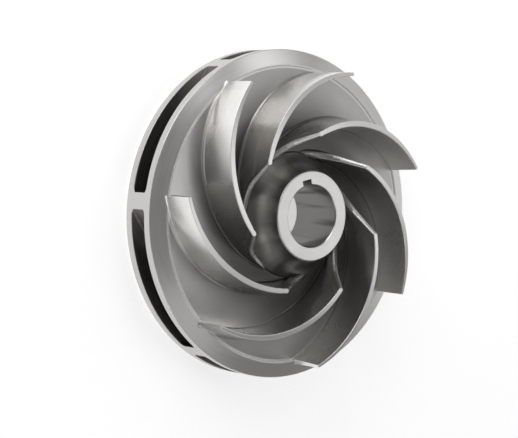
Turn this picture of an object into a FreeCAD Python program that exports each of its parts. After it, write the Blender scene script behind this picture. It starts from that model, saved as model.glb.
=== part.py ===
"""Semi-open pump impeller, cast and turned in one piece.

The axis is Z and the origin is the centre of the flat back face. Seven swept vanes stand
on the front, and a back ring carried by six webs leaves an outlet slot round the rim.
All sizes are in millimetres and all angles in degrees.
"""
import FreeCAD, Part
import math
import os
from FreeCAD import Vector

# Overall casting
impeller_diameter = 205.0
ring_thickness = 6.0
slot_height = 12.5
rim_thickness = 5.5
edge_round = 0.8

# Hub, bore and keyway
bore_diameter = 38.0
bore_chamfer = 0.7
hub_face_diameter = 55.6
hub_face_rise = 28.0
hub_flare_angle = 27.0
hub_flare_round = 19.0
hub_foot_diameter = 77.4
hub_foot_rise = 10.2
hub_rear_diameter = 62.0
hub_rear_setback = 14.0
key_width = 7.0
key_depth = 3.6
key_angle = 90.0

# Front face of the disc, with its heights counted from the sharp edge of the rim
rim_band_width = 10.0
rim_band_rise = 4.6
channel_step_width = 1.4
floor_foot_rise = 9.2
floor_rim_rise = 3.4
foot_lip_width = 1.2

# Back face of the disc, and the opening in the back ring
disc_back_rise = 3.0
hub_back_round = 9.0
eye_diameter = 86.0
eye_round = 2.0

# Front vanes, each an arc in plan that is thickest a turn of its arc in from the tip
vane_count = 7
vane_tip_angle = 110.5
vane_exit_angle = 20.3
vane_entry_angle = 17.0
vane_thickness = 4.3
vane_tip_thickness = 2.2
vane_overhang = 3.5
vane_thickest_turn = 58.0
vane_draft = 4.0
vane_nose_length = 9.0
vane_nose_sharpness = 0.65
vane_tip_rise = 25.6
vane_eye_rise = 33.2
vane_crown = 1.05
vane_foot_gap = 1.8
vane_nose_lean = 8.5
vane_toe_length = 12.0
vane_toe_rise = 12.0
vane_root_fillet = 1.6
vane_edge_round = 0.4

# Webs between the disc and the back ring
web_count = 6
web_rim_angle = 102.2
web_exit_angle = 30.0
web_entry_angle = 45.0
web_thickness = 5.6
web_eye_gap = 5.0
web_fillet = 1.8
slot_edge_round = 0.5

# How far one solid runs into its neighbour before the two are joined
overlap = 1.0
# How close to a surface a point has to be to count as lying on it
touch = 0.001
# Points along each side of a vane section, and along each side of its nose
side_points = 9
nose_points = 7

rim_radius = impeller_diameter / 2
bore_radius = bore_diameter / 2
slot_top = ring_thickness + slot_height
rim_edge = slot_top + rim_thickness
hub_face_height = rim_edge + hub_face_rise
hub_foot_radius = hub_foot_diameter / 2
hub_foot_height = rim_edge + hub_foot_rise
band_radius = rim_radius - rim_band_width
band_height = rim_edge + rim_band_rise
floor_foot_height = rim_edge + floor_foot_rise
floor_rim_height = rim_edge + floor_rim_rise
vane_tip_height = rim_edge + vane_tip_rise
vane_eye_height = rim_edge + vane_eye_rise
vane_reach = band_radius + vane_overhang + vane_thickness
vane_foot_radius = hub_foot_radius + vane_foot_gap
vane_eye_radius = vane_foot_radius + vane_nose_lean
eye_radius = eye_diameter / 2
web_inner_radius = eye_radius + eye_round + web_eye_gap
axis = Vector(0, 0, 1)


def at(radius, height):
    """Return a point of a turned outline."""
    return Vector(radius, 0, height)


def polar(radius, angle, height=0.0):
    """Return the point at a radius and an angle about Z."""
    turn = math.radians(angle)
    return Vector(radius * math.cos(turn), radius * math.sin(turn), height)


def floor_height(radius):
    """Return the height of the sloping channel floor at a radius."""
    share = (radius - hub_foot_radius) / (band_radius - hub_foot_radius)
    return floor_foot_height + (floor_rim_height - floor_foot_height) * share


def outline(corners):
    """Join (point, round) pairs by lines and round each corner as far as its sides allow."""
    points = [point for point, _ in corners]
    ways = [(points[(i + 1) % len(points)] - point) for i, point in enumerate(points)]
    halves = [ways[i - 1].negative().getAngle(way) / 2 for i, way in enumerate(ways)]
    reaches = [size / math.tan(half) for (_, size), half in zip(corners, halves)]
    spare = [way.Length / max(reaches[i] + reaches[(i + 1) % len(points)], touch)
             for i, way in enumerate(ways)]
    edges = []
    ends = []
    for i, corner in enumerate(points):
        reach = reaches[i] * min(1.0, spare[i - 1], spare[i])
        back = ways[i - 1].negative().normalize()
        onward = Vector(ways[i]).normalize()
        start = corner + back * reach
        end = corner + onward * reach
        ends.append((start, end))
        if reach > 0:
            size = reach * math.tan(halves[i])
            bisector = (back + onward).normalize()
            middle = corner + bisector * (size / math.sin(halves[i]) - size)
            edges.append(Part.Arc(start, middle, end).toShape())
    for (_, start), (end, _) in zip(ends, ends[1:] + ends[:1]):
        if start.distanceToPoint(end) > touch:
            edges.append(Part.makeLine(start, end))
    return Part.Wire(Part.__sortEdges__(edges))


def turned(corners):
    """Revolve a closed, rounded outline about Z."""
    return Part.Face(outline(corners)).revolve(Vector(0, 0, 0), axis, 360)


class SweptArc:
    """An arc in plan that crosses an inner and a tip circle, each at its own blade angle."""

    def __init__(self, inner_radius, entry_angle, tip_radius, exit_angle, tip_angle):
        inner_run = inner_radius * math.cos(math.radians(entry_angle))
        tip_run = tip_radius * math.cos(math.radians(exit_angle))
        self.radius = (tip_radius ** 2 - inner_radius ** 2) / (2 * (tip_run - inner_run))
        self.offset = math.sqrt(self.radius ** 2 + tip_radius ** 2 - 2 * self.radius * tip_run)
        swing = math.acos((tip_radius ** 2 + self.offset ** 2 - self.radius ** 2)
                          / (2 * tip_radius * self.offset))
        self.centre = polar(self.offset, tip_angle - math.degrees(swing))
        self.start = tip_angle - math.degrees(swing) + 180 - self.opening(tip_radius)

    def opening(self, reach):
        """Return the angle at the arc's centre between the axis and a radius."""
        return math.degrees(math.acos((self.radius ** 2 + self.offset ** 2 - reach ** 2)
                                      / (2 * self.radius * self.offset)))

    def turn(self, reach, tip_radius):
        """Return how far round the arc a radius lies from the tip."""
        return self.opening(tip_radius) - self.opening(reach)

    def point(self, turn, aside=0.0, height=0.0):
        """Return the point at a turn from the tip, aside from the arc by a distance."""
        return self.centre + polar(self.radius + aside, self.start + turn, height)


vane_arc = SweptArc(vane_foot_radius, vane_entry_angle, band_radius, vane_exit_angle, vane_tip_angle)
web_arc = SweptArc(web_inner_radius, web_entry_angle, rim_radius, web_exit_angle, web_rim_angle)
crest_arc = Part.Arc(at(vane_eye_radius, vane_eye_height),
                     at((vane_eye_radius + vane_reach) / 2,
                        (vane_eye_height + vane_tip_height) / 2 + vane_crown),
                     at(vane_reach, vane_tip_height)).toShape()


def root_flare(rise):
    """Return how far the root fillet stands out at a rise above the channel floor."""
    left = min(1.0, max(0.0, 1 - rise / vane_root_fillet))
    return vane_root_fillet * (1 - math.sqrt(1 - left ** 2))


def half_thickness(turn, side, height, nose_turn):
    """Return the vane's thickness to one side of its arc, at a turn and a height.

    The inner side leans back all along, and the outer side stands upright at the tip.
    The nose is half an ellipse at a sharpness of 0.5, and comes to a point at 1.
    """
    thickest = math.radians(vane_thickest_turn)
    thinning = (1 - math.cos(math.radians(turn) - thickest)) / (1 - math.cos(thickest))
    half = (vane_thickness - (vane_thickness - vane_tip_thickness) * thinning) / 2
    lean = 1.0 if side < 0 else 1 - thinning
    half += (vane_tip_height - height) * lean * math.tan(math.radians(vane_draft))
    left = math.radians(nose_turn - turn) * vane_arc.radius / vane_nose_length
    return half * max(0.0, 1 - max(0.0, 1 - left) ** 2) ** vane_nose_sharpness


def smooth(points):
    """Return a smooth edge through a list of points."""
    curve = Part.BSplineCurve()
    curve.interpolate(Points=points)
    return curve.toShape()


def toe_turn(height):
    """Return how far the leading edge sweeps on round the hub's foot at a height."""
    left = min(1.0, max(0.0, 1 - (height - floor_foot_height) / vane_toe_rise))
    return math.degrees(vane_toe_length * left ** 2 / vane_arc.radius)


def vane_section(level, flare=0.0):
    """Return a closed outline of the vane: outer side, nose, inner side and tail.

    The level gives the outline's height at a radius, and the flare widens it all round.
    """
    eye_turn = vane_arc.turn(vane_eye_radius, band_radius)
    foot_turn = vane_arc.turn(vane_foot_radius, band_radius)
    drop = vane_eye_height - level(vane_foot_radius)
    share = drop / (vane_eye_height - floor_foot_height)
    nose_turn = eye_turn + (foot_turn - eye_turn) * share + toe_turn(level(vane_foot_radius))
    nose_start = nose_turn - math.degrees(vane_nose_length / vane_arc.radius)

    def side_point(turn, side):
        middle = vane_arc.point(turn)
        height = level(middle.Length)
        half = half_thickness(turn, side, height, nose_turn)
        ahead = max(0.0, turn - nose_start) / (nose_turn - nose_start)
        return vane_arc.point(turn + math.degrees(flare * ahead ** 2 / vane_arc.radius),
                              side * (half + flare * math.sqrt(1 - ahead ** 2)), height)

    tail_turn = -math.degrees(vane_overhang / vane_arc.radius)
    along = [tail_turn + (nose_start - tail_turn) * i / side_points for i in range(side_points + 1)]
    round_nose = [math.cos(math.pi * i / nose_points) for i in range(nose_points + 1)]
    nose = [side_point(nose_turn + (nose_start - nose_turn) * abs(across), math.copysign(1, across))
            for across in round_nose]
    outer = [side_point(turn, 1) for turn in along]
    inner = [side_point(turn, -1) for turn in along[::-1]]
    return Part.Wire([smooth(outer), smooth(nose), smooth(inner), Part.makeLine(inner[-1], outer[0])])


def vane():
    """Return one vane: a rounded root and a swept toe below, a straight, tapering wall above."""
    rises = [vane_root_fillet * share for share in (0.1, 0.4, 1.0)]
    rises += [vane_toe_rise * share for share in (0.25, 0.4, 0.55, 0.75, 1.0)]
    sections = [vane_section(lambda radius: rim_edge, 2 * vane_root_fillet)]
    for rise in rises:
        sections.append(vane_section(lambda radius, rise=rise: floor_height(radius) + rise,
                                     root_flare(rise)))
    sections.append(vane_section(lambda radius: vane_eye_height + overlap))
    return Part.makeLoft(sections, True, True).common(vane_space())


def vane_space():
    """Return the turned space that the vanes fill, up to their crests."""
    inner = hub_foot_radius - overlap
    corners = [at(inner, rim_edge), at(inner, vane_eye_height),
               at(vane_eye_radius, vane_eye_height)]
    edges = [Part.makeLine(corners[0], corners[1]), Part.makeLine(corners[1], corners[2]),
             crest_arc,
             Part.makeLine(at(vane_reach, vane_tip_height), at(vane_reach, rim_edge)),
             Part.makeLine(at(vane_reach, rim_edge), corners[0])]
    return Part.Face(Part.Wire(edges)).revolve(Vector(0, 0, 0), axis, 360)


def channel_floor():
    """Return the cone-topped washer that the vanes stand on."""
    inner = hub_foot_radius - 2 * overlap
    outer = band_radius + 2 * overlap
    return turned([(at(inner, rim_edge), 0), (at(inner, floor_height(inner)), 0),
                   (at(outer, floor_height(outer)), 0), (at(outer, rim_edge), 0)])


def copies(shape, count):
    """Return a shape repeated evenly about Z."""
    turned_copies = []
    for i in range(count):
        copy = shape.copy()
        copy.rotate(Vector(0, 0, 0), axis, 360 * i / count)
        turned_copies.append(copy)
    return turned_copies


def edges_where(shape, holds):
    """Return the edges all of whose points pass a test of radius and height."""
    return [edge for edge in shape.Edges
            if all(holds(math.hypot(point.x, point.y), point.z) for point in edge.discretize(5))]


def turned_edge(edge):
    """Tell whether an edge is a circle about Z."""
    if not isinstance(edge.Curve, Part.Circle):
        return False
    return math.hypot(edge.Curve.Center.x, edge.Curve.Center.y) < touch


def on_web_root(radius, height):
    """Tell whether a point lies on the two faces that the webs join, away from the axis."""
    share = (rim_radius - radius) / (rim_radius - hub_rear_diameter / 2)
    joined = min(abs(height - ring_thickness), abs(height - slot_top - disc_back_rise * share))
    return joined < touch and radius > eye_radius + eye_round


def on_slot_mouth(radius, height):
    """Tell whether a point lies on the rim where the outlet slot opens."""
    return abs(radius - rim_radius) < touch and ring_thickness - touch < height < slot_top + touch


def on_crest(radius, height):
    """Tell whether a point lies on the turned crest of the vanes."""
    crest = crest_arc.Curve
    return abs(at(radius, height).distanceToPoint(crest.Center) - crest.Radius) < touch


def bladed_floor():
    """Return the channel floor with its vanes."""
    blade = vane()
    blade = blade.makeFillet(vane_edge_round, edges_where(blade, on_crest))
    return channel_floor().fuse(copies(blade, vane_count)).removeSplitter()


def disc():
    """Return the turned disc with its hub, flare and rim band, solid at the bore."""
    hub_radius = hub_face_diameter / 2
    flare_rise = (hub_foot_radius - hub_radius) * math.tan(math.radians(hub_flare_angle))
    lip_radius = hub_foot_radius + foot_lip_width
    step_radius = band_radius - channel_step_width
    rear_radius = hub_rear_diameter / 2
    return turned([(at(0, hub_rear_setback), 0),
                   (at(0, hub_face_height), 0),
                   (at(hub_radius, hub_face_height), edge_round),
                   (at(hub_radius, hub_foot_height + flare_rise), hub_flare_round),
                   (at(hub_foot_radius, hub_foot_height), edge_round),
                   (at(lip_radius, floor_height(lip_radius) - overlap), 0),
                   (at(step_radius, floor_height(step_radius) - overlap), 0),
                   (at(band_radius, band_height), edge_round),
                   (at(rim_radius, rim_edge), edge_round),
                   (at(rim_radius, slot_top), 0),
                   (at(rear_radius, slot_top + disc_back_rise), hub_back_round),
                   (at(rear_radius, hub_rear_setback), edge_round)])


def back_ring():
    """Return the flat ring behind the outlet slot."""
    return turned([(at(eye_radius, 0), edge_round), (at(eye_radius, ring_thickness), eye_round),
                   (at(rim_radius, ring_thickness), 0), (at(rim_radius, 0), edge_round)])


def web():
    """Return one curved web from the back ring up into the disc."""
    half = web_thickness / 2
    nose = web_arc.turn(web_inner_radius, rim_radius)
    tail = -math.degrees(2 * web_thickness / web_arc.radius)
    low = ring_thickness - overlap
    high = slot_top + disc_back_rise + overlap
    outer = [web_arc.point(turn, half, low) for turn in (tail, nose / 2, nose)]
    inner = [web_arc.point(turn, -half, low) for turn in (tail, nose / 2, nose)]
    tip = web_arc.point(nose + math.degrees(half / web_arc.radius), 0.0, low)
    plan = Part.Wire([Part.Arc(*outer).toShape(), Part.Arc(outer[-1], tip, inner[-1]).toShape(),
                      Part.Arc(*inner[::-1]).toShape(), Part.makeLine(inner[0], outer[0])])
    rim = Part.makeCylinder(rim_radius, high, Vector(0, 0, 0), axis)
    return Part.Face(plan).extrude(Vector(0, 0, high - low)).common(rim)


def bore_with_keyway():
    """Return the space cut by the bore, its chamfered mouths and its keyway."""
    low = hub_rear_setback - overlap
    high = hub_face_height + overlap
    mouth_radius = bore_radius + bore_chamfer + overlap
    bore = turned([(at(0, low), 0), (at(mouth_radius, low), 0),
                   (at(bore_radius, hub_rear_setback + bore_chamfer), 0),
                   (at(bore_radius, hub_face_height - bore_chamfer), 0),
                   (at(mouth_radius, high), 0), (at(0, high), 0)])
    key = Part.makeBox(bore_radius + key_depth, key_width, high - low, Vector(0, -key_width / 2, low))
    key.rotate(Vector(0, 0, 0), axis, key_angle)
    return bore.fuse(key)


def slotted_body():
    """Return the disc and back ring joined by webs, with rounded web roots and slot mouths."""
    body = disc().fuse([back_ring()] + copies(web(), web_count)).removeSplitter()
    roots = [edge for edge in edges_where(body, on_web_root) if not turned_edge(edge)]
    body = body.makeFillet(web_fillet, roots)
    return body.makeFillet(slot_edge_round, edges_where(body, on_slot_mouth))


def impeller():
    """Return the finished impeller as one solid."""
    body = slotted_body().fuse(bladed_floor()).removeSplitter()
    return body.cut(bore_with_keyway()).Solids[0]


os.makedirs("parts", exist_ok=True)
impeller().exportStep("parts/impeller.step")
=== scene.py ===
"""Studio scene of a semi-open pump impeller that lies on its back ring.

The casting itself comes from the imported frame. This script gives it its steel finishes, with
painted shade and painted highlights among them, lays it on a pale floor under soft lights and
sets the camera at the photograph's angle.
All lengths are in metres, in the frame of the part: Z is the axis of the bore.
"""
from __future__ import annotations

import logging
import math
from collections.abc import Mapping
from dataclasses import dataclass, field
from enum import Enum

import bpy
from mathutils import Matrix, Vector


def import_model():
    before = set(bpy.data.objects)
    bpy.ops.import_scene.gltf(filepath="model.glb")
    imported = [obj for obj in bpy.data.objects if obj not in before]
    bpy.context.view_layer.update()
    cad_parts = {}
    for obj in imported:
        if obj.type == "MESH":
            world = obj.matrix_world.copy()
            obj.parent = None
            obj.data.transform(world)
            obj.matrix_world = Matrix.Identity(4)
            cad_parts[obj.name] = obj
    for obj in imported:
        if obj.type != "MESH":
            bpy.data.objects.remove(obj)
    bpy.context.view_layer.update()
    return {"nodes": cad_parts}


LOG = logging.getLogger("impeller_scene")
MM = 0.001
Colour = tuple[float, float, float]
BLACK = (0.0, 0.0, 0.0, 1.0)


class Kind(Enum):
    """What a shader socket carries."""

    VALUE = "VALUE"
    VECTOR = "VECTOR"
    COLOUR = "RGBA"


class Socket:
    """An output socket that can be used in Python expressions of values and vectors.

    Colours are mixed by the graph's blend instead.
    """

    def __init__(self, graph: "Graph", output: bpy.types.NodeSocket) -> None:
        """Wrap an output socket.

        Args:
            graph: The graph that the socket's node is in.
            output: The socket itself.
        """
        self.graph = graph
        self.output = output
        self.kind = Kind(output.type)

    def _with(self, operation: str, left: "Operand", right: "Operand") -> "Socket":
        """Add the node for one operation.

        Args:
            operation: The operation's name, as the Math node calls it.
            left: The first operand.
            right: The second operand.

        Returns:
            The node's result.
        """
        kinds = [item.kind for item in (left, right) if isinstance(item, Socket)]
        if Kind.VECTOR in kinds:
            values = {0: self._spread(left), 1: self._spread(right)}
            return self.graph.add("ShaderNodeVectorMath", {"operation": operation}, values)
        return self.graph.add("ShaderNodeMath", {"operation": operation}, {0: left, 1: right})

    @staticmethod
    def _spread(item: "Operand") -> "Operand":
        """Turn a plain number into a vector of equal parts."""
        return (item, item, item) if isinstance(item, (int, float)) else item

    def __add__(self, other: "Operand") -> "Socket":
        """Return self + other."""
        return self._with("ADD", self, other)

    def __radd__(self, other: "Operand") -> "Socket":
        """Return other + self."""
        return self._with("ADD", other, self)

    def __sub__(self, other: "Operand") -> "Socket":
        """Return self - other."""
        return self._with("SUBTRACT", self, other)

    def __rsub__(self, other: "Operand") -> "Socket":
        """Return other - self."""
        return self._with("SUBTRACT", other, self)

    def __mul__(self, other: "Operand") -> "Socket":
        """Return self * other."""
        return self._with("MULTIPLY", self, other)

    def __rmul__(self, other: "Operand") -> "Socket":
        """Return other * self."""
        return self._with("MULTIPLY", other, self)

    def __truediv__(self, other: "Operand") -> "Socket":
        """Return self / other."""
        return self._with("DIVIDE", self, other)

    def __rtruediv__(self, other: "Operand") -> "Socket":
        """Return other / self."""
        return self._with("DIVIDE", other, self)

    def __abs__(self) -> "Socket":
        """Return the absolute value."""
        return self.graph.add("ShaderNodeMath", {"operation": "ABSOLUTE"}, {0: self})


Operand = Socket | float | tuple[float, ...]


class Graph:
    """The nodes of one material or world."""

    def __init__(self, tree: bpy.types.NodeTree) -> None:
        """Empty a node tree and take charge of it.

        Args:
            tree: The node tree of a material or a world.
        """
        self.tree = tree
        tree.nodes.clear()

    def add(self, kind: str, settings: Mapping[str, object] | None = None,
            values: Mapping[int | str, Operand] | None = None, output: int | str = 0) -> Socket:
        """Add one node.

        Args:
            kind: The node's type.
            settings: Its properties, set first.
            values: What goes into its sockets, by name or place: numbers or links.
            output: The name or place of the output that is wanted.

        Returns:
            The chosen output.
        """
        node = self.tree.nodes.new(kind)
        for name, value in (settings or {}).items():
            setattr(node, name, value)
        for place, value in (values or {}).items():
            if isinstance(value, Socket):
                self.tree.links.new(value.output, node.inputs[place])
            else:
                node.inputs[place].default_value = value
        found = node.outputs[output]
        return ShaderSocket(self, found) if found.type == "SHADER" else Socket(self, found)

    def finish(self, kind: str, surface: Socket) -> None:
        """Add the output node.

        Args:
            kind: The output node's type.
            surface: The shader that it shows.
        """
        self.tree.links.new(surface.output, self.tree.nodes.new(kind).inputs["Surface"])

    def across(self, value: Socket) -> Socket:
        """Return a vector with a value as its X part."""
        return self.add("ShaderNodeCombineXYZ", values={0: value})

    def fade(self, value: Socket, low: float, high: float) -> Socket:
        """Return a smooth step.

        Args:
            value: What the step depends on.
            low: Where the step starts to leave 0.
            high: Where the step reaches 1. It may be below the start.

        Returns:
            0 before the start, 1 after the end, and a smooth run between.
        """
        return self.add("ShaderNodeMapRange", {"interpolation_type": "SMOOTHSTEP"},
                        {"Value": value, "From Min": low, "From Max": high})

    def blend(self, share: Socket, first: Operand, second: Operand) -> Socket:
        """Mix two colours.

        Args:
            share: How much of the second colour shows.
            first: The colour at a share of 0.
            second: The colour at a share of 1.

        Returns:
            The mixed colour.
        """
        settings = {"data_type": "RGBA", "blend_type": "MIX"}
        return self.add("ShaderNodeMix", settings, {0: share, 6: first, 7: second}, output=2)

    def noise(self, place: Operand, scale: float, detail: float = 2.0,
              roughness: float = 0.5) -> Socket:
        """Return a cloudy noise between 0 and 1.

        Args:
            place: Where the noise is read.
            scale: How many clouds there are to a unit of the place.
            detail: How many finer layers are added.
            roughness: How strong the finer layers are.

        Returns:
            The noise's value.
        """
        return self.add("ShaderNodeTexNoise", {"noise_dimensions": "3D"},
                        {"Vector": place, "Scale": scale, "Detail": detail, "Roughness": roughness})


class ShaderSocket(Socket):
    """A shader's output, which is only linked on."""

    def __init__(self, graph: Graph, output: bpy.types.NodeSocket) -> None:
        """Keep the output, which carries no number."""
        self.graph = graph
        self.output = output


def opaque(colour: Colour) -> tuple[float, float, float, float]:
    """Return a colour with full opacity."""
    return (*colour, 1.0)


@dataclass(frozen=True)
class Tone:
    """How one kind of steel surface looks before its texture."""

    colour: Colour
    roughness: float


@dataclass(frozen=True)
class CastSkin:
    """Blasted skin of the channels, painted lighter on the vanes and with painted shade darkening it
    towards the hub.
    """

    tone: Tone = Tone((0.67, 0.652, 0.632), 0.32)
    # Painted light: the vanes get a lighter colour than the floor of the same cast skin.
    painted_lit_vane_tone: Tone = Tone((0.88, 0.87, 0.85), 0.27)
    # Painted shade: the cast colour is scaled to these shares near the hub and brought back to full by
    # the outer radius, darkening the channels towards the hub.
    hub_painted_shade: float = 0.20
    vane_hub_painted_shade: float = 0.58
    full_painted_shade_radius: float = 50 * MM
    no_painted_shade_radius: float = 88 * MM
    cloud_size: float = 26 * MM
    cloud_depth: float = 0.16
    cloud_detail: float = 3.0
    roughness_spread: float = 0.10
    grain_size: float = 0.55 * MM
    grain_height: float = 0.0025 * MM


@dataclass(frozen=True)
class TurnedSkin:
    """Lathe-cut surface with fine rings about the axis and soft bands along it. Some of its tones are
    painted shade and painted highlights.
    """

    tone: Tone
    streak_depth: float = 0.12
    band_depth: float = 0.10


@dataclass(frozen=True)
class ToolMarks:
    """The fine rings that a lathe tool leaves, with wider streaks and bands among them.

    The turns say how fast each kind changes on its way round the axis.
    """

    pitch: float = 0.35 * MM
    depth: float = 0.0015 * MM
    ring_turns: float = 1.5
    ring_roughness: float = 0.6
    streak_pitch: float = 1.2 * MM
    streak_turns: float = 4.0
    bands_to_metre: float = 12.0
    band_turns: float = 2.6
    roughness_spread: float = 0.10


@dataclass(frozen=True)
class CastingSteel:
    """The casting's steel: a cast skin, with turned faces where the tool has been.

    The sizes say where those faces are, and their edges are one or two times the softness wide.
    Some tones are painted light: painted shade in the slot, on the hub cone, rim and bore, and
    painted highlights on the step, the crests and the vanes' ends.
    """

    rim_radius: float = 102.5 * MM
    band_radius: float = 92.5 * MM
    step_reach: float = 1.9 * MM
    step_height: float = 29.2 * MM
    slot_low: float = 6.0 * MM
    inside_high: float = 22.5 * MM
    hub_face_radius: float = 27.8 * MM
    hub_face_height: float = 52.0 * MM
    hub_foot_radius: float = 39.0 * MM
    hub_foot_height: float = 34.2 * MM
    floor_foot_height: float = 33.2 * MM
    floor_rim_height: float = 27.4 * MM
    root_height: float = 2.5 * MM
    keyway_radius: float = 23.2 * MM
    crest_inner: tuple[float, float] = (49.0 * MM, 57.2 * MM)
    crest_outer: tuple[float, float] = (100.3 * MM, 49.6 * MM)
    crest_crown: float = 1.05 * MM
    crest_depth: float = 0.45 * MM
    crest_start: float = 2.0 * MM
    neck_radii: tuple[float, float] = (34.0 * MM, 28.5 * MM)
    edge_turn: tuple[float, float] = (0.45, 0.65)
    softness: float = 0.15 * MM
    cast: CastSkin = CastSkin()
    marks: ToolMarks = ToolMarks()
    # Painted shade: the slot between the rim and the back ring gets a near-black tone.
    painted_slot_shade: TurnedSkin = TurnedSkin(Tone((0.16, 0.15, 0.14), 0.45), 0.05, 0.10)
    band: TurnedSkin = TurnedSkin(Tone((0.86, 0.85, 0.83), 0.30), 0.12, 0.16)
    # Painted highlight: the narrow step between the band and the channel floor is near white, so it
    # shows as a bright line.
    step: TurnedSkin = TurnedSkin(Tone((0.97, 0.96, 0.94), 0.52), 0.02, 0.02)
    # Painted shade: the rim's outer side is painted darker than the band of the same turned steel.
    rim: TurnedSkin = TurnedSkin(Tone((0.62, 0.61, 0.60), 0.34), 0.10, 0.12)
    face: TurnedSkin = TurnedSkin(Tone((0.70, 0.695, 0.68), 0.30), 0.05, 0.12)
    # Painted shade on the hub cone, and a painted highlight on its upper band by the hub face; their
    # strong bands along the axis are painted reflection streaks.
    cone_painted_shade: TurnedSkin = TurnedSkin(Tone((0.24, 0.23, 0.215), 0.38), 0.08, 1.1)
    neck_painted_highlight: TurnedSkin = TurnedSkin(Tone((0.62, 0.605, 0.58), 0.34), 0.08, 1.1)
    # Painted shade: the bore is given a dark tone, with strong bands along the axis as painted
    # reflection streaks.
    bore: TurnedSkin = TurnedSkin(Tone((0.27, 0.265, 0.255), 0.24), 0.04, 1.8)
    # The turned crests are lighter than the cast skin, and their near-white colour is also a painted
    # highlight.
    crest: Tone = Tone((0.95, 0.94, 0.92), 0.32)
    # Painted highlight: the leading and trailing ends of the vanes are near white.
    edge: Tone = Tone((0.96, 0.95, 0.93), 0.42)

    def crest_circle(self) -> tuple[float, float, float]:
        """Work out the circle that the vanes' crests were turned to.

        Returns:
            The circle's radius from the axis, height and own radius.
        """
        (inner, high), (outer, low) = self.crest_inner, self.crest_outer
        span = math.hypot(outer - inner, high - low)
        own = (span / 2) ** 2 / (2 * self.crest_crown) + self.crest_crown / 2
        drop = own - self.crest_crown
        along = ((outer - inner) / span, (low - high) / span)
        middle = ((inner + outer) / 2, (high + low) / 2)
        return middle[0] + along[1] * drop, middle[1] - along[0] * drop, own

    def turned_places(self, graph: Graph, radius: Socket,
                      height: Socket) -> list[tuple[Socket, TurnedSkin]]:
        """Mark where each turned surface is.

        Args:
            graph: The graph to add the marks to.
            radius: The distance from the axis.
            height: The height above the back face.

        Returns:
            Pairs of a mark between 0 and 1 and the skin that lies there. Later ones lie on top.
        """
        soft = self.softness
        under = graph.fade(radius, self.rim_radius, self.rim_radius - soft)
        # Where the slot's painted shade lies.
        painted_slot_shade = (graph.fade(height, self.slot_low, self.slot_low + soft)
                  * graph.fade(height, self.inside_high, self.inside_high - soft) * under)
        on_band = (graph.fade(radius, self.band_radius - soft, self.band_radius + soft)
                   * (1 - painted_slot_shade))
        # Where the step's painted highlight lies.
        step_radius = self.band_radius - self.step_reach
        painted_step_highlight = (graph.fade(radius, step_radius, step_radius + soft)
                   * graph.fade(radius, self.band_radius + 4 * soft, self.band_radius + 2 * soft)
                   * graph.fade(height, self.step_height + soft, self.step_height) * (1 - painted_slot_shade))
        # Where the rim's painted shade lies.
        painted_rim_shade = graph.fade(radius, self.rim_radius - 2 * soft, self.rim_radius - soft)
        near_hub = graph.fade(radius, self.hub_foot_radius + soft, self.hub_foot_radius)
        # The hub cone gets painted shade, its upper band by the hub face a painted highlight.
        painted_cone_shade = near_hub * graph.fade(height, self.hub_foot_height - soft, self.hub_foot_height)
        painted_neck_highlight = painted_cone_shade * graph.fade(radius, *self.neck_radii)
        on_face = (graph.fade(height, self.hub_face_height - 4 * soft, self.hub_face_height - 2 * soft)
                   * graph.fade(radius, self.hub_face_radius + 2 * soft, self.hub_face_radius + soft))
        # Where the bore's painted shade lies.
        painted_bore_shade = (graph.fade(radius, self.keyway_radius, self.keyway_radius - soft)
                   * graph.fade(height, self.hub_face_height, self.hub_face_height - 2 * soft))
        return [(painted_slot_shade, self.painted_slot_shade), (on_band, self.band), (painted_step_highlight, self.step),
                (painted_rim_shade, self.rim), (painted_cone_shade, self.cone_painted_shade), (painted_neck_highlight, self.neck_painted_highlight),
                (painted_bore_shade, self.bore), (on_face, self.face)]

    def crest_place(self, graph: Graph, radius: Socket, height: Socket) -> Socket:
        """Mark where the vanes' turned crests are.

        Args:
            graph: The graph to add the mark to.
            radius: The distance from the axis.
            height: The height above the back face.

        Returns:
            1 on a crest and 0 elsewhere.
        """
        centre_radius, centre_height, own = self.crest_circle()
        spoke = graph.add("ShaderNodeCombineXYZ", values={0: radius - centre_radius,
                                                          1: height - centre_height})
        reach = graph.add("ShaderNodeVectorMath", {"operation": "LENGTH"}, {0: spoke}, "Value")
        return (graph.fade(abs(reach - own), self.crest_depth, self.crest_depth / 2)
                * graph.fade(radius, self.hub_foot_radius, self.hub_foot_radius + self.crest_start))

    def edge_highlight_place(self, graph: Graph, heading: Socket) -> Socket:
        """Mark the ends of the vanes, which face along the circle about the axis, where a painted
        highlight goes.

        Args:
            graph: The graph to add the mark to.
            heading: The direction away from the axis.

        Returns:
            1 on a leading or trailing edge and 0 on the vanes' sides.
        """
        facing = graph.add("ShaderNodeTexCoord", output="Normal")
        crossed = graph.add("ShaderNodeVectorMath", {"operation": "CROSS_PRODUCT"},
                            {0: heading, 1: facing})
        along = graph.add("ShaderNodeSeparateXYZ", values={0: crossed}, output="Z")
        return graph.fade(abs(along), *self.edge_turn)

    def vane_place(self, graph: Graph, radius: Socket, height: Socket) -> Socket:
        """Mark the vanes, which stand above the cone of the channel floor.

        Args:
            graph: The graph to add the mark to.
            radius: The distance from the axis.
            height: The height above the back face.

        Returns:
            0 on the floor, 1 on a vane, and a smooth run over its root.
        """
        fall = ((self.floor_rim_height - self.floor_foot_height)
                / (self.band_radius - self.hub_foot_radius))
        above = height - (radius - self.hub_foot_radius) * fall - self.floor_foot_height
        return graph.fade(above, 0.0, self.root_height)

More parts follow.
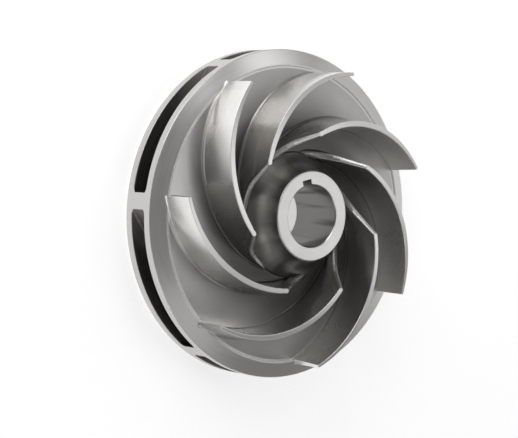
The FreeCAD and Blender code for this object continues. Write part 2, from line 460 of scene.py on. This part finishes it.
    def material(self) -> bpy.types.Material:
        """Build the material.

        Returns:
            The finished material.
        """
        cast, marks = self.cast, self.marks
        steel = bpy.data.materials.new("cast_and_turned_steel_with_painted_light")
        steel.use_nodes = True
        graph = Graph(steel.node_tree)
        place = graph.add("ShaderNodeTexCoord", output="Object")
        flat = place * (1.0, 1.0, 0.0)
        radius = graph.add("ShaderNodeVectorMath", {"operation": "LENGTH"}, {0: flat}, "Value")
        height = graph.add("ShaderNodeSeparateXYZ", values={0: place}, output="Z")
        heading = graph.add("ShaderNodeVectorMath", {"operation": "NORMALIZE"}, {0: flat})
        run = radius + height

        clouds = graph.noise(place, 1 / cast.cloud_size, cast.cloud_detail)
        grain = graph.noise(place, 1 / cast.grain_size)
        rings = graph.noise(graph.across(run / marks.pitch) + heading * marks.ring_turns, 1.0,
                            roughness=marks.ring_roughness)
        streaks = graph.noise(graph.across(run / marks.streak_pitch) + heading * marks.streak_turns,
                              1.0)
        bands = graph.noise(graph.across(run * marks.bands_to_metre) + heading * marks.band_turns,
                            1.0)

        on_vane = self.vane_place(graph, radius, height)
        # Painted shade: the cast colour darkens towards the hub, less on the vanes; the clouds are
        # random tone.
        depth = graph.fade(radius, cast.full_painted_shade_radius, cast.no_painted_shade_radius)
        painted_shade_share = on_vane * (cast.vane_hub_painted_shade - cast.hub_painted_shade) + cast.hub_painted_shade
        painted_shade_and_clouds = (painted_shade_share + depth * (1 - painted_shade_share)) * (1 + (clouds - 0.5) * (2 * cast.cloud_depth))
        # The vanes are painted lighter than the channel floor.
        skin_with_painted_vane_light = graph.blend(on_vane, opaque(cast.tone.colour), opaque(cast.painted_lit_vane_tone.colour))
        colour: Operand = graph.blend(painted_shade_and_clouds, BLACK, skin_with_painted_vane_light)
        more = cast.painted_lit_vane_tone.roughness - cast.tone.roughness
        roughness: Operand = (on_vane * more + cast.tone.roughness
                              + (clouds - 0.5) * cast.roughness_spread)
        # Painted highlight on the vanes' ends.
        painted_edge_highlight = on_vane * self.edge_highlight_place(graph, heading)
        colour = graph.blend(painted_edge_highlight, colour, opaque(self.edge.colour))
        roughness = roughness + painted_edge_highlight * (self.edge.roughness - roughness)
        turned: Operand = 0.0
        # Turned tones go on top; among them are the painted shade and painted highlights.
        for mask, skin in self.turned_places(graph, radius, height):
            shade = (1 + (streaks - 0.5) * (2 * skin.streak_depth)
                     + (bands - 0.5) * (2 * skin.band_depth))
            tone = graph.blend(shade, BLACK, opaque(skin.tone.colour))
            colour = graph.blend(mask, colour, tone)
            rough = skin.tone.roughness + (streaks - 0.5) * marks.roughness_spread
            roughness = roughness + mask * (rough - roughness)
            turned = turned + mask * (1 - turned)
        # Crests: turned steel with a painted highlight.
        crest_with_painted_highlight = self.crest_place(graph, radius, height)
        colour = graph.blend(crest_with_painted_highlight, colour, opaque(self.crest.colour))
        roughness = roughness + crest_with_painted_highlight * (self.crest.roughness - roughness)
        relief = (grain * (1 - turned) * (1 - crest_with_painted_highlight) * cast.grain_height
                  + rings * turned * marks.depth)
        normal = graph.add("ShaderNodeBump", values={
            "Strength": 1.0, "Distance": 1.0, "Height": relief})
        shader = graph.add("ShaderNodeBsdfPrincipled", values={
            "Base Color": colour, "Roughness": roughness, "Metallic": 1.0, "Normal": normal})
        graph.finish("ShaderNodeOutputMaterial", shader)
        return steel


@dataclass(frozen=True)
class PaleFloor:
    """Pale studio floor that looks white and keeps the shadow.

    Its glow shows only to the camera and in reflections.
    """

    colour: Colour = (0.94, 0.94, 0.94)
    glow: float = 0.60
    half_width: float = 6.0

    def build(self) -> bpy.types.Object:
        """Lay the floor and dress it.

        Returns:
            The floor's object.
        """
        mesh = bpy.data.meshes.new("studio_floor")
        side = self.half_width
        mesh.from_pydata([(-side, -side, 0), (side, -side, 0), (side, side, 0), (-side, side, 0)],
                         [], [(0, 1, 2, 3)])
        floor = bpy.data.objects.new("studio_floor", mesh)
        bpy.context.scene.collection.objects.link(floor)
        paint = bpy.data.materials.new("pale_floor")
        paint.use_nodes = True
        graph = Graph(paint.node_tree)
        seen = (graph.add("ShaderNodeLightPath", output="Is Camera Ray")
                + graph.add("ShaderNodeLightPath", output="Is Glossy Ray")
                + graph.add("ShaderNodeLightPath", output="Is Transmission Ray"))
        matt = graph.add("ShaderNodeBsdfDiffuse", values={"Color": opaque(self.colour)})
        white = graph.add("ShaderNodeEmission", values={"Strength": self.glow})
        lit = graph.add("ShaderNodeAddShader", values={0: matt, 1: white})
        mixed = graph.add("ShaderNodeMixShader", values={0: seen, 1: matt, 2: lit})
        graph.finish("ShaderNodeOutputMaterial", mixed)
        mesh.materials.append(paint)
        return floor


@dataclass(frozen=True)
class Softbox:
    """A square area lamp that points at the impeller."""

    name: str
    place: tuple[float, float, float]
    size: float
    power: float

    def build(self, aim: Vector) -> bpy.types.Object:
        """Hang the lamp.

        Args:
            aim: The point that the lamp faces.

        Returns:
            The lamp's object.
        """
        lamp = bpy.data.lights.new(self.name, "AREA")
        lamp.size = self.size
        lamp.energy = self.power
        holder = bpy.data.objects.new(self.name, lamp)
        holder.location = self.place
        holder.rotation_euler = (aim - Vector(self.place)).to_track_quat("-Z", "Y").to_euler()
        bpy.context.scene.collection.objects.link(holder)
        return holder


@dataclass(frozen=True)
class Studio:
    """The floor, the lamps and the dim room round the impeller."""

    aim: tuple[float, float, float] = (0.0, 0.0, 0.03)
    room: float = 0.18
    floor: PaleFloor = PaleFloor()
    lamps: tuple[Softbox, ...] = (
        Softbox("key_softbox", (0.85, -0.17, 1.14), 0.50, 0.72),
        Softbox("low_key_softbox", (1.0, -0.40, 0.90), 0.35, 0.28),
        Softbox("top_softbox", (0.36, -0.02, 1.42), 0.5, 0.85),
        Softbox("back_softbox", (-0.67, 1.22, 0.59), 0.8, 4.4),
        Softbox("near_back_softbox", (0.0, 0.41, 0.32), 0.15, 0.19),
        Softbox("near_right_softbox", (0.29, 0.29, 0.32), 0.2, 0.12),
        Softbox("left_softbox", (-1.22, -0.67, 0.59), 0.8, 2.2),
        Softbox("right_softbox", (1.38, 0.15, 0.59), 0.9, 0.9),
        Softbox("front_softbox", (-0.27, -0.93, 1.18), 0.8, 0.6),
    )

    def build(self) -> None:
        """Build the floor, the lamps and the world."""
        self.floor.build()
        for lamp in self.lamps:
            lamp.build(Vector(self.aim))
        world = bpy.data.worlds.new("dim_room")
        bpy.context.scene.world = world
        world.use_nodes = True
        graph = Graph(world.node_tree)
        air = graph.add("ShaderNodeBackground", values={
            "Color": (self.room, self.room, self.room, 1.0), "Strength": 1.0})
        graph.finish("ShaderNodeOutputWorld", air)
        LOG.info("studio: floor, %d lamps and the room", len(self.lamps))


@dataclass(frozen=True)
class PhotoCamera:
    """The camera, placed as the photograph was taken.

    The impeller is seen turned about its axis, swung to one side and tilted, in that order. The
    offset says where the middle of the rim's front edge lies from the camera: to the right, down
    and into the picture, in radii of the impeller.
    """

    spin: float = 11.0
    swing: float = -39.03
    tilt: float = 3.78
    impeller_radius: float = 102.5 * MM
    rim_edge: float = 24.0 * MM
    offset: tuple[float, float, float] = (0.1463, -0.0312, 10.959)
    photo_width: float = 518.0
    focal_pixels: float = 1800.0
    sensor: float = 36.0
    clip_start: float = 0.01

    def build(self) -> bpy.types.Object:
        """Set the camera up.

        Returns:
            The camera's object.
        """
        flip = Matrix.Diagonal((1, -1, -1))
        turn = (Matrix.Rotation(math.radians(self.tilt), 3, "X")
                @ Matrix.Rotation(math.radians(self.swing), 3, "Y")
                @ flip @ Matrix.Rotation(math.radians(self.spin), 3, "Z"))
        shift = Vector(self.offset) * self.impeller_radius
        place = Vector((0, 0, self.rim_edge)) - turn.transposed() @ shift
        axes = turn.transposed() @ flip
        lens = bpy.data.cameras.new("photo_camera")
        lens.sensor_width = self.sensor
        lens.lens = self.sensor * (self.focal_pixels / self.photo_width)
        lens.clip_start = self.clip_start
        camera = bpy.data.objects.new("photo_camera", lens)
        camera.matrix_world = Matrix.Translation(place) @ axes.to_4x4()
        bpy.context.scene.collection.objects.link(camera)
        bpy.context.scene.camera = camera
        LOG.info("camera at %s", tuple(round(value, 3) for value in place))
        return camera


@dataclass
class Impeller:
    """The one-piece casting."""

    node: bpy.types.Object
    steel: CastingSteel = field(default_factory=CastingSteel)

    def dress(self) -> None:
        """Give the casting its steel."""
        material = self.steel.material()
        self.node.data.materials.clear()
        self.node.data.materials.append(material)
        LOG.info("%s: %d faces in %s", self.node.name, len(self.node.data.polygons), material.name)


def main() -> None:
    """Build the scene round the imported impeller."""
    logging.basicConfig(level=logging.INFO, format="%(name)s: %(message)s")
    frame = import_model()
    Impeller(frame["nodes"]["impeller"]).dress()
    Studio().build()
    PhotoCamera().build()
    bpy.context.scene.view_settings.view_transform = "Standard"


if __name__ == "__main__":
    main()
